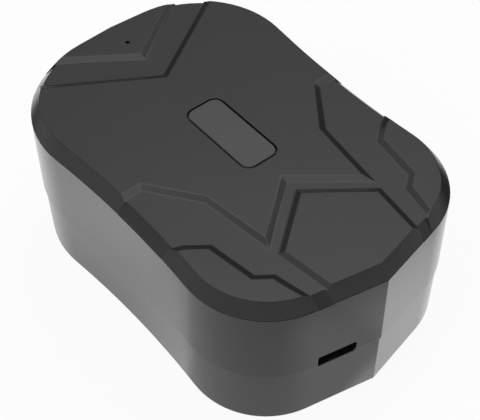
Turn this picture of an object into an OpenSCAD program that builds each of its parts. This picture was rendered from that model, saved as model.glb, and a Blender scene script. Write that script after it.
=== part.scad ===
// Magnetic vehicle tracker: a moulded housing in two shells with its battery,
// boards, antennas and holding magnets.
// Origin at the centre of the underside, +Z up, -Y towards the charging port.

/* [Housing outline] */
// Length over the creases of both ends
body_length = 90; // [88:0.5:104]
// Height over the raised panels
body_height = 36.2; // [34:0.1:46]
// Half width over the near corners
near_half_width = 29.65; // [29:0.05:34]
// Half width over the far corners
far_half_width = 30.25; // [29.5:0.05:35]
// Radius of the near corners
near_corner_radius = 18; // [15:0.5:19]
// Radius of the far corners
far_corner_radius = 22.8; // [19:0.2:24]
// Radius of the drawn-in waist of the long sides
waist_radius = 229; // [180:1:500]
// Slope of the two facets of the near end, in degrees
near_facet_slope = 12.1; // [8:0.1:14]
// Slope of the two facets of the far end, in degrees
far_facet_slope = 3.2; // [1:0.1:5]

/* [Shells] */
// Height of the seam between the shells
seam_height = 15; // [14.8:0.1:16.5]
// Thickness of the side walls
wall = 2.4; // [2:0.05:2.6]
// Thickness of the floor of the lower shell
floor_thickness = 2; // [1.6:0.1:2.5]
// Thickness of the top below the groove floors
top_thickness = 2.2; // [1.6:0.1:2.8]
// Setback of the lower shell behind the upper one
shell_step = 0.3; // [0.1:0.05:0.5]
// Taper of the lower shell from the seam to the underside
lower_taper = 0.25; // [0.1:0.05:0.5]
// Chamfer round the underside
foot_chamfer = 0.5; // [0.2:0.1:1]
// Height of the lip that stands up from the lower shell
lip_height = 1.5; // [1:0.1:2]
// Thickness of the outer land of the seam
land = 1.25; // [1.1:0.05:1.4]
// Gap between the lip and the skirt of the upper shell
lip_gap = 0.05; // [0.03:0.01:0.1]
// Height of the seal between the lip and the upper shell
seal_height = 1; // [0.8:0.1:1.4]

/* [Top pattern] */
// How far the top chamfer leans in
chamfer_inset = 2.15; // [1.2:0.05:2.4]
// Height of the top chamfer
chamfer_height = 3; // [2.2:0.1:3.2]
// Depth of the grooves between the raised panels
groove_depth = 0.7; // [0.4:0.05:1.2]
// Width of the soft walls round the panels
panel_draft = 1.8; // [1:0.05:2]
// Share of a soft wall's width that each of its two gentle turns takes
turn_width_share = 0.25; // [0.15:0.01:0.4]
// Share of a soft wall's height that each of its two gentle turns takes
turn_height_share = 0.12; // [0.05:0.01:0.3]
// Step that the grooves leave below the rim line
rim_notch = 0.15; // [0.05:0.05:0.4]

/* [Badge plate] */
// Width of the plate across the housing
plate_width = 8.2; // [6:0.1:12]
// Length of the plate along the housing
plate_length = 20.1; // [14:0.1:26]
// Thickness of the plate
plate_thickness = 0.8; // [0.5:0.1:1.2]
// Corner radius of the plate
plate_corner = 2; // [1:0.1:3]
// Gap round the plate
plate_gap = 0.35; // [0.15:0.05:0.6]
// Place of the plate's middle along the housing
plate_y = 0.7; // [-4:0.1:4]
// Glue film below the plate
glue_film = 0.1; // [0.05:0.05:0.2]

/* [Charging port] */
// Width of the slot in the near end
slot_width = 8.4; // [8:0.1:9.5]
// Height of the slot
slot_height = 3.2; // [3:0.1:3.6]
// Corner radius of the slot
slot_corner = 0.5; // [0.2:0.05:1]
// Distance from the crease to the middle of the slot
slot_offset = 9.8; // [8:0.1:11]
// Width of the receptacle
port_width = 7.5; // [7:0.1:7.8]
// Height of the receptacle
port_height = 2.6; // [2.4:0.05:2.8]
// Depth of the receptacle
port_depth = 5.6; // [5:0.1:7]
// Wall of the receptacle's metal sleeve
port_sleeve = 0.3; // [0.2:0.05:0.4]
// Setback of the receptacle's mouth behind the facet
port_setback = 1.3; // [1:0.05:1.6]

/* [Fixings] */
// Radius of the bosses for the shell screws
boss_radius = 3; // [2.9:0.1:3.2]
// Radius of the shell screws' shanks
shell_screw_radius = 1.25; // [1:0.05:1.3]
// Radius of the shell screws' heads
shell_head_radius = 2.2; // [2:0.05:2.3]
// Height of the shell screws' heads
shell_head_height = 1.8; // [1.4:0.1:2]
// Depth of the screw wells in the underside
screw_well = 7; // [5:0.5:8]
// Reach of the shell screws into the upper shell
screw_reach = 7; // [5:0.5:9]
// Radius of the bosses below the main board
board_boss_radius = 2.2; // [2:0.1:2.4]
// Radius of the board screws' shanks
board_screw_radius = 0.9; // [0.8:0.05:1]
// Radius of the board screws' heads
board_head_radius = 1.7; // [1.5:0.05:1.9]
// Height of the board screws' heads
board_head_height = 1.3; // [1:0.1:1.6]
// Length of the board screws' shanks
board_screw_length = 5; // [4:0.5:6]
// Radial clearance of every screw in its hole
screw_gap = 0.05; // [0.03:0.01:0.1]

/* [Magnets] */
// Radius of a magnet
magnet_radius = 8; // [7:0.1:8.2]
// Thickness of a magnet
magnet_thickness = 5; // [3:0.1:5.2]
// Floor left below the magnets
magnet_skin = 1; // [0.6:0.1:1.2]
// Wall of the ring round each magnet
magnet_ring = 1.2; // [0.8:0.1:1.4]
// Distance of the outer magnets from the middle, across
magnet_x = 16.8; // [16.4:0.1:17.2]
// Share of the half length at which the outer magnets lie
magnet_row_share = 0.3222; // [0.315:0.0001:0.34]
// Thickness of the plate that keeps the magnets
retainer_thickness = 1.2; // [0.8:0.1:1.4]
// Radius of the staking posts
post_radius = 1.4; // [1:0.1:1.6]
// Radius of the staked heads
post_head_radius = 2.1; // [1.8:0.1:2.4]
// Height of the staked heads
post_head_height = 0.6; // [0.4:0.1:0.8]

/* [Boards] */
// Thickness of the main board
board_thickness = 1.2; // [1:0.1:1.3]
// Drop of the main board's upper face below the seam
board_drop = 0.4; // [0.2:0.1:0.6]
// Room kept above the board for its parts
part_room = 2.9; // [2.8:0.1:3.4]
// Side of the cellular module
cell_module_side = 17.6; // [16:0.2:20]
// Height of the cellular module
cell_module_height = 2.3; // [2:0.1:2.4]
// Side of the satellite receiver
gnss_side = 10.1; // [9:0.1:11]
// Height of the satellite receiver
gnss_height = 2.2; // [1.8:0.1:2.3]
// Side of the ceramic satellite antenna
patch_side = 15; // [12:0.5:15.5]
// Thickness of the ceramic satellite antenna
patch_thickness = 4; // [3:0.1:5]
// Width of the flexible cellular antenna
flex_width = 26; // [20:0.5:28]
// Height of the flexible cellular antenna
flex_height = 11; // [8:0.5:12]
// Thickness of the flexible cellular antenna
flex_thickness = 0.3; // [0.2:0.05:0.4]

/* [Battery] */
// Foam tape between the cells and the top
tape_thickness = 0.6; // [0.4:0.1:1]
// Corner radius of a cell
cell_corner = 1.6; // [1:0.1:2.5]
// Thickness of the fence round the cells
fence = 1.1; // [0.8:0.05:1.3]
// Share of the battery's room that the fence round the cells reaches down
fence_share = 0.38; // [0.25:0.01:0.42]
// Thickness of the protection board on the cells
protection_thickness = 1; // [0.8:0.1:1.4]

/* [Microphone] */
// Distance of the sound hole from the far end
sound_inset = 8.6; // [8:0.1:9]
// Radius of the sound hole
sound_radius = 0.45; // [0.3:0.05:0.6]
// Radius of the microphone capsule
capsule_radius = 2; // [1.6:0.1:2.2]
// Height of the microphone capsule
capsule_height = 1.6; // [1.2:0.1:2]
// Wall of the rubber boot
boot_wall = 0.7; // [0.5:0.05:0.8]

/* [Service bay] */
// Half width of the bay behind the cover
bay_half_width = 13; // [12.8:0.05:13.4]
// Height of the bay
bay_height = 4.4; // [4.2:0.1:4.6]
// Depth of the bay behind the cover
bay_depth = 2; // [1.8:0.1:2.2]
// Width of the seat round the bay
seat_width = 1.3; // [1:0.1:1.4]
// Depth of the seat for the cover
seat_depth = 3.1; // [3:0.05:3.3]
// Wall behind the bay
bay_wall = 1.4; // [1.2:0.05:1.5]
// Clearance round the cover
cover_gap = 0.15; // [0.1:0.01:0.2]
// Depth of the cover's plug
plug_depth = 1.6; // [1:0.1:1.7]
// Wall of the cover's plug
plug_wall = 0.8; // [0.6:0.05:0.9]
// Travel of the cover up to its barb
cover_travel = 5; // [3:0.1:5.4]
// Radius of the cover's keeping leg
leg_radius = 0.9; // [0.7:0.05:0.95]
// Radius of the barb on the keeping leg
barb_radius = 1.3; // [1.2:0.05:1.35]
// Length of the barb on the keeping leg
barb_length = 1.4; // [1:0.1:1.8]

/* [Button and card] */
// Radius of the power button's cap
button_radius = 1.2; // [1:0.05:1.25]
// Radial clearance of the cap in its bore
button_gap = 0.05; // [0.03:0.01:0.09]
// Travel of the power button
button_travel = 0.3; // [0.2:0.05:0.4]
// How far the cap stands out in the bay
button_stand = 0.7; // [0.5:0.05:1]
// Width of the card
card_width = 12; // [11.5:0.1:12.2]
// Length of the card
card_length = 15; // [14:0.1:15.2]
// Thickness of the card
card_thickness = 0.76; // [0.6:0.02:0.84]

/* [Hidden] */

$fn = 40;
overrun = 1;
fit_gap = 0.3;
corner_steps = 18;
waist_steps = 12;

half_length = body_length / 2;
rim_height = body_height - chamfer_height;
groove_floor = body_height - groove_depth;
inner_top = groove_floor - top_thickness;

// Centres of the corner arcs and of the waist arc that is tangent to both
near_centre = [near_half_width - near_corner_radius,
    (near_half_width - near_corner_radius) * tan(near_facet_slope)
        + near_corner_radius / cos(near_facet_slope) - half_length];
far_centre = [far_half_width - far_corner_radius,
    half_length - (far_half_width - far_corner_radius) * tan(far_facet_slope)
        - far_corner_radius / cos(far_facet_slope)];
corner_span = norm(far_centre - near_centre);
corner_line = (far_centre - near_centre) / corner_span;
near_reach = near_corner_radius + waist_radius;
far_reach = far_corner_radius + waist_radius;
waist_along = (near_reach * near_reach - far_reach * far_reach + corner_span * corner_span)
    / (2 * corner_span);
waist_out = sqrt(near_reach * near_reach - waist_along * waist_along);
waist_centre = near_centre + waist_along * corner_line
    + waist_out * [corner_line[1], -corner_line[0]];
near_tangent = atan2(waist_centre[1] - near_centre[1], waist_centre[0] - near_centre[0]);
far_tangent = atan2(waist_centre[1] - far_centre[1], waist_centre[0] - far_centre[0]);
waist_half_width = waist_centre[0] - waist_radius;

// The main board hangs below the seam, and the port stands on it
board_top = seam_height - board_drop;
board_bottom = board_top - board_thickness;
port_z = board_top + port_height / 2;
port_inner_y = port_setback + port_depth;

// Bosses for the shell screws nest in the corners of the housing
boss_bite = 0.4;
boss_angle = 45;
near_boss = near_centre + (near_corner_radius - wall - boss_radius + boss_bite)
    * [cos(boss_angle), -sin(boss_angle)];
far_boss = far_centre + (far_corner_radius - wall - boss_radius + boss_bite)
    * [cos(boss_angle), sin(boss_angle)];
shell_bosses = [for (side = [-1, 1]) each
    [[side * near_boss[0], near_boss[1]], [side * far_boss[0], far_boss[1]]]];

// Service bay in the far end of the lower shell, from the inside out
bay_margin = 0.3;
seat_top = seam_height - bay_margin * 2;
bay_top = seat_top - seat_width / 2;
bay_bottom = bay_top - bay_height;
seat_bottom = bay_bottom - seat_width;
seat_half_width = bay_half_width + seat_width;
seat_y = half_length - seat_depth;
bay_y = seat_y - bay_depth;
bay_inner_y = bay_y - bay_wall;
bay_block_half_width = seat_half_width + wall;

// The board passes between the shell bosses, and its far screws clear the magnets
board_edge_y = bay_inner_y - fit_gap;
board_far_half_width = far_boss[0] - boss_radius - 2 * fit_gap;
board_near_half_width = min(near_boss[0], far_boss[0]) - boss_radius - 2 * fit_gap;
board_hole_inset = 2.4;
board_hole_reach = 12.5;
magnet_y = magnet_row_share * half_length;
board_near_hole_y = near_boss[1];
board_holes = [for (side = [-1, 1]) each
    [[side * (board_near_half_width - board_hole_inset), board_near_hole_y],
    [side * (board_far_half_width - board_hole_inset), magnet_y + board_hole_reach]]];

// The middle magnet comes first, then near left, near right, far left and far right
magnet_places = [[0, 0], [-magnet_x, -magnet_y], [magnet_x, -magnet_y],
    [-magnet_x, magnet_y], [magnet_x, magnet_y]];
magnet_top = magnet_skin + magnet_thickness;
magnet_gap = 0.05;
retainer_top = magnet_top + retainer_thickness;
retainer_half_length = magnet_y + magnet_radius + magnet_ring;
post_margin = 1.3;
post_reach = magnet_radius + magnet_gap + magnet_ring + post_head_radius + post_margin;
post_places = [[0, post_reach], [0, -post_reach], [post_reach, 0], [-post_reach, 0]];

// The card, its holder and the switch hang below the board
holder_height = 1.4;
holder_wall = (holder_height - card_thickness) / 2;
holder_side = 1;
holder_width = card_width + 2 * holder_side;
holder_x = -3.4;
card_bottom = board_bottom - holder_height + holder_wall / 2;
card_stand = bay_depth - plug_depth - cover_gap;
leg_x = -(bay_half_width - plug_wall - cover_gap - leg_radius - screw_gap);
leg_z = board_bottom - holder_height - barb_radius - fit_gap;
leg_inner_y = bay_inner_y - cover_travel - barb_length - screw_gap;
button_x = 7.2;
button_z = bay_bottom + bay_height / 2;
button_flange = 0.5;
button_flange_radius = button_radius + button_flange;
button_flange_length = 0.5;
button_face_y = bay_y + button_stand;
button_flange_y = bay_inner_y - button_gap - button_flange_length;
stem_radius = 0.5;
stem_length = 1.1;
switch_width = 4.6;
switch_depth = 3.4;
switch_y = button_flange_y - button_travel - button_gap;
light_size = [0.8, 1.6, 0.6];
light_margin = 1.2;
light_pitch = 1.3;
light_places = [button_x + button_flange_radius + light_margin,
    button_x + button_flange_radius + light_margin + light_pitch];
light_hole_radius = 0.4;

// The antenna stands in front of the microphone, and the cells fill the rest
sound_y = half_length - sound_inset;
boot_radius = capsule_radius + boot_wall;
boot_height = capsule_height + boot_wall;
socket_ring = 0.9;
patch_y = sound_y - boot_radius - socket_ring - fit_gap - patch_side / 2;
battery_clearance = 0.3;
battery_half_width = waist_half_width - wall - fence - battery_clearance;
battery_near_y = near_boss[1] + boss_radius + battery_clearance + protection_thickness
    + fence;
battery_far_y = patch_y - patch_side / 2 - battery_clearance - fence;
battery_length = battery_far_y - battery_near_y;
battery_y = (battery_far_y + battery_near_y) / 2;
battery_top = inner_top - tape_thickness;
battery_bottom = board_top + part_room;
cell_thickness = (battery_top - battery_bottom) / 2;
fence_height = fence_share * (inner_top - battery_bottom);

connector_size = [6, 4.2, 2.4];
connector_x = 3.5;
connector_setback = 1;
connector_place = [connector_x, board_near_hole_y - connector_setback];
lead_radius = 0.5;
lead_pitch = 1.6;
lead_bow = 7;
lead_steps = 12;
lead_sides = 8;
coax_radius = 0.5;
socket_radius = 1.3;
socket_height = 1.2;
socket_x = 6;
flex_socket_inset = 5.2;
patch_socket = [socket_x, patch_y];
flex_socket = [-socket_x, board_edge_y - flex_socket_inset];
flex_rise_share = 0.75;
flex_bottom = seam_height + flex_rise_share * (inner_top - seam_height - flex_height);
mic_pad = [lead_pitch, sound_y - boot_radius];
thread_radius = 0.35;

// Shares of the half width and half length at the panels' corners,
// right-hand side first, each running anticlockwise
reach_share = 1.4;
far_panel_shares = [[0, 0.685], [reach_share, 1.342], [-reach_share, 1.342]];
hexagon_shares = [[0, -0.439], [-0.405, -0.651], [-0.359, -0.893], [-0.3, -1.2],
    [0.3, -1.2], [0.359, -0.893], [0.405, -0.651]];
corner_panel_shares = [[reach_share, -0.205], [0.84, -0.373], [0.714, -0.439],
    [0.661, -0.673], [0.562, -0.724], [0.516, -0.866], [0.42, -1.2], [reach_share, -1.2]];
central_half_shares = [[0, -0.344], [0.4226, -0.574], [0.4925, -0.224], [0.747, 0.009],
    [reach_share, 0.009], [reach_share, 1.095], [0, 0.507]];

module_colour = [0.72, 0.73, 0.74];
case_colour = [0.25, 0.25, 0.26];
lower_colour = [0.29, 0.29, 0.3];
rubber_colour = [0.12, 0.12, 0.13];
board_colour = [0.08, 0.3, 0.16];
metal_colour = [0.78, 0.78, 0.8];
copper_colour = [0.8, 0.5, 0.25];

// Points of an arc, ends included
function arc(centre, radius, from, to, steps) = [for (i = [0:steps])
    centre + radius * [cos(from + (to - from) * i / steps), sin(from + (to - from) * i / steps)]];

function without_ends(points) = [for (i = [1:len(points) - 2]) points[i]];

// Right half of the housing's outline, drawn in by an inset, near crease to far crease
function half_outline(inset) = concat(
    [[0, inset / cos(near_facet_slope) - half_length]],
    arc(near_centre, near_corner_radius - inset, near_facet_slope - 90, near_tangent,
        corner_steps),
    without_ends(arc(waist_centre, waist_radius + inset, near_tangent + 180,
        far_tangent + 180, waist_steps)),
    arc(far_centre, far_corner_radius - inset, far_tangent, 90 - far_facet_slope,
        corner_steps),
    [[0, half_length - inset / cos(far_facet_slope)]]);

function mirrored(points) = [for (i = [len(points) - 2:-1:1]) [-points[i][0], points[i][1]]];

function outline(inset) = concat(half_outline(inset), mirrored(half_outline(inset)));

// Points at shares of the half width and half length
function placed(shares) = [for (s = shares) [s[0] * far_half_width, s[1] * half_length]];

function flipped(points) = [for (i = [len(points) - 1:-1:0]) [-points[i][0], points[i][1]]];

function edge_normal(a, b) = [b[1] - a[1], a[0] - b[0]] / norm(b - a);

// An anticlockwise outline with every edge moved out by a distance
function grown(points, distance) = let (n = len(points)) [for (i = [0:n - 1])
    let (before = edge_normal(points[(i + n - 1) % n], points[i]))
    let (after = edge_normal(points[i], points[(i + 1) % n]))
    points[i] + distance * (before + after) / (1 + before * after)];

// Points along a smooth curve between two places, in given directions
function curve(from, from_way, to, to_way, bow) = [for (i = [0:lead_steps])
    let (t = i / lead_steps)
    let (u = 1 - t)
    u * u * u * from + 3 * u * u * t * (from + bow * from_way)
        + 3 * u * t * t * (to + bow * to_way) + t * t * t * to];

// Points along a lead whose ends run straight, square to what they meet
function lead_path(from, from_way, to, to_way, bow = lead_bow) = concat([from],
    curve(from + lead_radius * from_way, from_way, to + lead_radius * to_way, to_way, bow),
    [to]);

function unit(v) = v / norm(v);

function ring_round(centre, way, radius, sides) =
    let (across = unit(cross(way, [1, 0, 0])))
    let (along = cross(across, way))
    [for (k = [0:sides - 1])
        centre + radius * (cos(360 * k / sides) * along + sin(360 * k / sides) * across)];

// A closed solid through rings of equal point counts, lowest first
module lofted(rings) {
    n = len(rings[0]);
    last = (len(rings) - 1) * n;
    polyhedron(
        points = [for (ring = rings) each ring],
        faces = concat(
            [[for (i = [0:n - 1]) i]],
            [[for (i = [n - 1:-1:0]) last + i]],
            [for (r = [0:len(rings) - 2], i = [0:n - 1])
                [r * n + i, (r + 1) * n + i, (r + 1) * n + (i + 1) % n, r * n + (i + 1) % n]]),
        convexity = 10);
}

function at_height(points, z) = [for (p = points) [p[0], p[1], z]];

module tube(path, radius, sides) {
    last = len(path) - 1;
    lofted([for (i = [0:last])
        ring_round(path[i], unit(path[min(i + 1, last)] - path[max(i - 1, 0)]), radius, sides)]);
}

module rounded_rect(width, length, radius) {
    square([width - 2 * radius, length], center = true);
    square([width, length - 2 * radius], center = true);
    for (x = [-1, 1], y = [-1, 1])
        translate([x * (width / 2 - radius), y * (length / 2 - radius)]) circle(radius);
}

module ring_wall(outer, inner, bottom, top) {
    translate([0, 0, bottom])
        linear_extrude(top - bottom)
            difference() {
                polygon(outline(outer));
                polygon(outline(inner));
            }
}

// A box that stands on a height, centred across and along
module block(size, place, bottom) {
    translate([place[0], place[1], bottom + size[2] / 2]) cube(size, center = true);
}

module post(radius, place, bottom, top) {
    translate([place[0], place[1], bottom]) cylinder(r = radius, h = top - bottom);
}

// A rod along the housing, from a near to a far place
module rod(radius, x, z, near_y, far_y) {
    translate([x, near_y, z]) rotate([-90, 0, 0]) cylinder(r = radius, h = far_y - near_y);
}

// The frame of the facet that holds the port: origin on the crease, +Y into the housing
module on_port_facet() {
    translate([0, -half_length, 0]) rotate([0, 0, -near_facet_slope]) children();
}

module port_slot() {
    on_port_facet()
        translate([-slot_offset, -overrun, port_z])
            rotate([-90, 0, 0])
                linear_extrude(wall + 2 * overrun)
                    rounded_rect(slot_width, slot_height, slot_corner);
}

// Panels that stay proud of the grooves; their soft walls turn gently at the foot and
// at the top, and their drawn outline runs halfway up
module raised_panel(points, foot) {
    reach = panel_draft / 2;
    turned = reach - turn_width_share * panel_draft;
    rise = turn_height_share * groove_depth;
    lofted([at_height(grown(points, reach), foot),
        at_height(grown(points, reach), groove_floor),
        at_height(grown(points, turned), groove_floor + rise),
        at_height(grown(points, -turned), body_height - rise),
        at_height(grown(points, -reach), body_height),
        at_height(grown(points, -reach), body_height + rim_notch)]);
}

// What the grooves take away: all that lies above their floor and outside the panels
module groove_waste() {
    slope = (groove_floor - rim_height + rim_notch) / chamfer_inset;
    foot = rim_height - rim_notch - slope * overrun;
    central = placed(central_half_shares);
    difference() {
        translate([0, 0, foot])
            linear_extrude(body_height - foot + rim_notch / 2)
                polygon(outline(-2 * overrun));
        lofted([at_height(outline(-overrun), foot),
            at_height(outline(chamfer_inset), groove_floor)]);
        raised_panel(concat(central, mirrored(central)), foot - overrun);
        raised_panel(placed(far_panel_shares), foot - overrun);
        raised_panel(placed(hexagon_shares), foot - overrun);
        raised_panel(placed(corner_panel_shares), foot - overrun);
        raised_panel(flipped(placed(corner_panel_shares)), foot - overrun);
    }
}

module fence_round(width, length, y) {
    translate([0, y, inner_top - fence_height])
        linear_extrude(fence_height + overrun)
            difference() {
                square([width + 2 * fence, length + 2 * fence], center = true);
                square([width, length], center = true);
            }
}

module upper_shell() {
    color(case_colour)
        difference() {
            union() {
                difference() {
                    lofted([at_height(outline(0), seam_height),
                        at_height(outline(0), rim_height),
                        at_height(outline(chamfer_inset), body_height)]);
                    groove_waste();
                    translate([0, 0, seam_height - overrun])
                        linear_extrude(inner_top - seam_height + overrun)
                            polygon(outline(wall));
                    translate([0, 0, seam_height - overrun])
                        linear_extrude(lip_height + seal_height + overrun)
                            polygon(outline(land));
                }
                for (place = shell_bosses)
                    post(boss_radius, place, seam_height, inner_top + overrun);
                fence_round(2 * (battery_half_width + battery_clearance),
                    battery_length + 2 * battery_clearance + protection_thickness,
                    battery_y - protection_thickness / 2);
                post(boot_radius + socket_ring, [0, sound_y], inner_top - boot_height,
                    inner_top + overrun);
            }
            for (place = shell_bosses)
                post(shell_screw_radius + screw_gap, place, seam_height - overrun,
                    seam_height + screw_reach + overrun);
            post(boot_radius, [0, sound_y], inner_top - boot_height - overrun, inner_top);
            post(sound_radius, [0, sound_y], inner_top - overrun, body_height + overrun);
            translate([0, plate_y, body_height - plate_thickness - glue_film])
                linear_extrude(plate_thickness + glue_film + overrun)
                    rounded_rect(plate_width + 2 * plate_gap, plate_length + 2 * plate_gap,
                        plate_corner + plate_gap);
            port_slot();
        }
}

module service_bay() {
    translate([-seat_half_width, seat_y, seat_bottom])
        cube([2 * seat_half_width, seat_depth + overrun, seat_top - seat_bottom]);
    translate([-bay_half_width, bay_y, bay_bottom])
        cube([2 * bay_half_width, bay_depth + overrun, bay_height]);
    translate([holder_x - card_width / 2 - fit_gap, bay_inner_y - overrun,
            card_bottom - fit_gap / 2])
        cube([card_width + 2 * fit_gap, bay_wall + 2 * overrun, card_thickness + fit_gap]);
    rod(button_radius + button_gap, button_x, button_z, bay_inner_y - overrun, bay_y + overrun);
    rod(leg_radius + screw_gap, leg_x, leg_z, bay_inner_y - overrun, bay_y + overrun);
    for (x = light_places)
        rod(light_hole_radius, x, bay_top - 2 * light_hole_radius, bay_inner_y - overrun,
            bay_y + overrun);
}

module lower_shell() {
    foot_inset = shell_step + lower_taper;
    color(lower_colour)
        difference() {
            union() {
                difference() {
                    lofted([at_height(outline(foot_inset + foot_chamfer), 0),
                        at_height(outline(foot_inset), foot_chamfer),
                        at_height(outline(shell_step), seam_height)]);
                    translate([0, 0, floor_thickness])
                        linear_extrude(seam_height)
                            polygon(outline(wall));
                }
                difference() {
                    ring_wall(land + lip_gap, wall, seam_height - overrun,
                        seam_height + lip_height);
                    for (place = shell_bosses)
                        post(boss_radius + lip_gap, place, seam_height,
                            seam_height + lip_height + overrun);
                }
                for (place = shell_bosses)
                    post(boss_radius, place, foot_chamfer, seam_height);
                for (place = board_holes)
                    post(board_boss_radius, place, floor_thickness / 2, board_bottom);
                for (place = magnet_places)
                    intersection() {
                        post(magnet_radius + magnet_gap + magnet_ring, place,
                            floor_thickness / 2, magnet_top);
                        linear_extrude(seam_height)
                            polygon(outline(wall / 2));
                    }
                for (place = post_places) {
                    post(post_radius, place, floor_thickness / 2, retainer_top);
                    post(post_head_radius, place, retainer_top, retainer_top + post_head_height);
                }
                intersection() {
                    translate([-bay_block_half_width, bay_inner_y, floor_thickness / 2])
                        cube([2 * bay_block_half_width, half_length,
                            seam_height - floor_thickness / 2]);
                    linear_extrude(body_height)
                        polygon(outline(wall / 2));
                }
            }
            for (place = magnet_places)
                post(magnet_radius + magnet_gap, place, magnet_skin, magnet_top + overrun);
            for (place = shell_bosses) {
                post(shell_head_radius + screw_gap, place, -overrun, screw_well);
                post(shell_screw_radius + screw_gap, place, 0, seam_height + overrun);
            }
            for (place = board_holes)
                post(board_screw_radius + screw_gap, place,
                    board_top - board_screw_length - overrun, board_bottom + overrun);
            service_bay();
            port_slot();
        }
}

module badge_plate() {
    color([0.4, 0.4, 0.41])
        translate([0, plate_y, body_height - plate_thickness])
            linear_extrude(plate_thickness)
                rounded_rect(plate_width, plate_length, plate_corner);
}

module seal_ring() {
    color(rubber_colour)
        difference() {
            ring_wall(land + lip_gap, wall - lip_gap, seam_height + lip_height,
                seam_height + lip_height + seal_height);
            for (place = shell_bosses)
                post(boss_radius + lip_gap, place, seam_height, body_height);
            port_slot();
        }
}

// A pan-head screw with its shank up the +Z axis and a cross recess in its head
module screw(shank_radius, shank_length, head_radius, head_height) {
    recess_width = head_radius / 4;
    recess_depth = head_height / 2;
    difference() {
        union() {
            cylinder(r = shank_radius, h = shank_length);
            translate([0, 0, -head_height]) cylinder(r = head_radius, h = head_height);
        }
        for (turn = [0, 90])
            rotate([0, 0, turn])
                translate([0, 0, -head_height])
                    cube([1.3 * head_radius, recess_width, 2 * recess_depth], center = true);
    }
}

module shell_screws() {
    color(metal_colour)
        for (place = shell_bosses)
            translate([place[0], place[1], screw_well])
                screw(shell_screw_radius, seam_height - screw_well + screw_reach,
                    shell_head_radius, shell_head_height);
}

module board_screws() {
    color(metal_colour)
        for (place = board_holes)
            translate([place[0], place[1], board_top])
                rotate([180, 0, 0])
                    screw(board_screw_radius, board_screw_length, board_head_radius,
                        board_head_height);
}

// The cover follows the wall outside, and its hollow plug fills the rim of the bay
module service_cover() {
    plug_half_width = bay_half_width - cover_gap;
    plug_bottom = bay_bottom + cover_gap;
    plug_height = bay_height - 2 * cover_gap;
    color(rubber_colour) {
        intersection() {
            translate([cover_gap - seat_half_width, seat_y + screw_gap,
                    seat_bottom + cover_gap])
                cube([2 * (seat_half_width - cover_gap), seat_depth,
                    seat_top - seat_bottom - 2 * cover_gap]);
            linear_extrude(seam_height)
                polygon(outline(shell_step + lower_taper));
        }
        difference() {
            translate([-plug_half_width, seat_y - plug_depth, plug_bottom])
                cube([2 * plug_half_width, plug_depth + overrun / 2, plug_height]);
            translate([plug_wall - plug_half_width, seat_y - plug_depth - overrun,
                    plug_bottom + plug_wall])
                cube([2 * (plug_half_width - plug_wall), plug_depth + overrun,
                    plug_height - 2 * plug_wall]);
        }
        rod(leg_radius, leg_x, leg_z, leg_inner_y + barb_length / 2, seat_y + overrun / 2);
        rod(barb_radius, leg_x, leg_z, leg_inner_y, leg_inner_y + barb_length);
    }
}

module power_button() {
    color([0.75, 0.2, 0.15]) {
        rod(button_radius, button_x, button_z, button_flange_y, button_face_y);
        rod(button_flange_radius, button_x, button_z, button_flange_y,
            button_flange_y + button_flange_length);
        rod(stem_radius, button_x, button_z, button_flange_y - stem_length,
            button_flange_y + button_flange_length);
    }
}

module power_switch() {
    switch_height = board_bottom - button_z + button_flange_radius;
    color([0.15, 0.15, 0.16])
        difference() {
            block([switch_width, switch_depth, switch_height],
                [button_x, switch_y - switch_depth / 2], board_bottom - switch_height);
            rod(stem_radius + button_gap, button_x, button_z,
                button_flange_y - stem_length - 2 * button_travel, switch_y + overrun);
        }
}

module main_board() {
    edge = wall + fit_gap;
    color(board_colour)
        difference() {
            translate([0, 0, board_bottom])
                linear_extrude(board_thickness)
                    intersection() {
                        polygon(outline(edge));
                        polygon([[-board_near_half_width, -half_length],
                            [board_near_half_width, -half_length],
                            [board_far_half_width, board_edge_y],
                            [-board_far_half_width, board_edge_y]]);
                    }
            for (place = board_holes)
                post(board_screw_radius + 2 * screw_gap, place, board_bottom - overrun,
                    board_top + overrun);
        }
}

module charge_port() {
    tongue = port_height / 4;
    color(metal_colour)
        on_port_facet()
            translate([-slot_offset, port_setback, port_z]) {
                difference() {
                    rotate([-90, 0, 0])
                        linear_extrude(port_depth)
                            rounded_rect(port_width, port_height, slot_corner);
                    translate([0, -overrun, 0])
                        rotate([-90, 0, 0])
                            linear_extrude(port_depth - 2 * port_sleeve + overrun)
                                rounded_rect(port_width - 2 * port_sleeve,
                                    port_height - 2 * port_sleeve, slot_corner - port_sleeve / 2);
                }
                translate([-port_width / 4, 2 * port_sleeve, 0])
                    cube([port_width / 2, port_depth - 3 * port_sleeve, tongue]);
            }
}

module sim_holder() {
    holder_length = card_length;
    color(metal_colour)
        difference() {
            block([holder_width, holder_length, holder_height],
                [holder_x, board_edge_y - holder_length / 2], board_bottom - holder_height);
            block([card_width + 2 * holder_wall, holder_length, card_thickness + holder_wall],
                [holder_x, board_edge_y - holder_length / 2 + holder_wall], card_bottom);
        }
}

module sim_card() {
    far_y = bay_y + card_stand;
    color([0.9, 0.85, 0.6])
        block([card_width, card_length, card_thickness], [holder_x, far_y - card_length / 2],
            card_bottom);
}

module status_lights() {
    color([0.85, 0.95, 0.85])
        for (x = light_places)
            block(light_size, [x, board_edge_y - light_size[1] / 2],
                board_bottom - light_size[2]);
}

// A module under a metal can on its own thin board
module canned_module(side, height, place) {
    base = height / 4;
    rim = side / 24;
    block([side, side, base], place, board_top);
    block([side - 2 * rim, side - 2 * rim, height - base], place, board_top + base);
}

module cellular_module() {
    color(module_colour) canned_module(cell_module_side, cell_module_height, [0, battery_y]);
}

module satellite_receiver() {
    color(module_colour)
        canned_module(gnss_side, gnss_height,
            [0, battery_y + cell_module_side / 2 + gnss_side / 2 + lead_pitch]);
}

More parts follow.
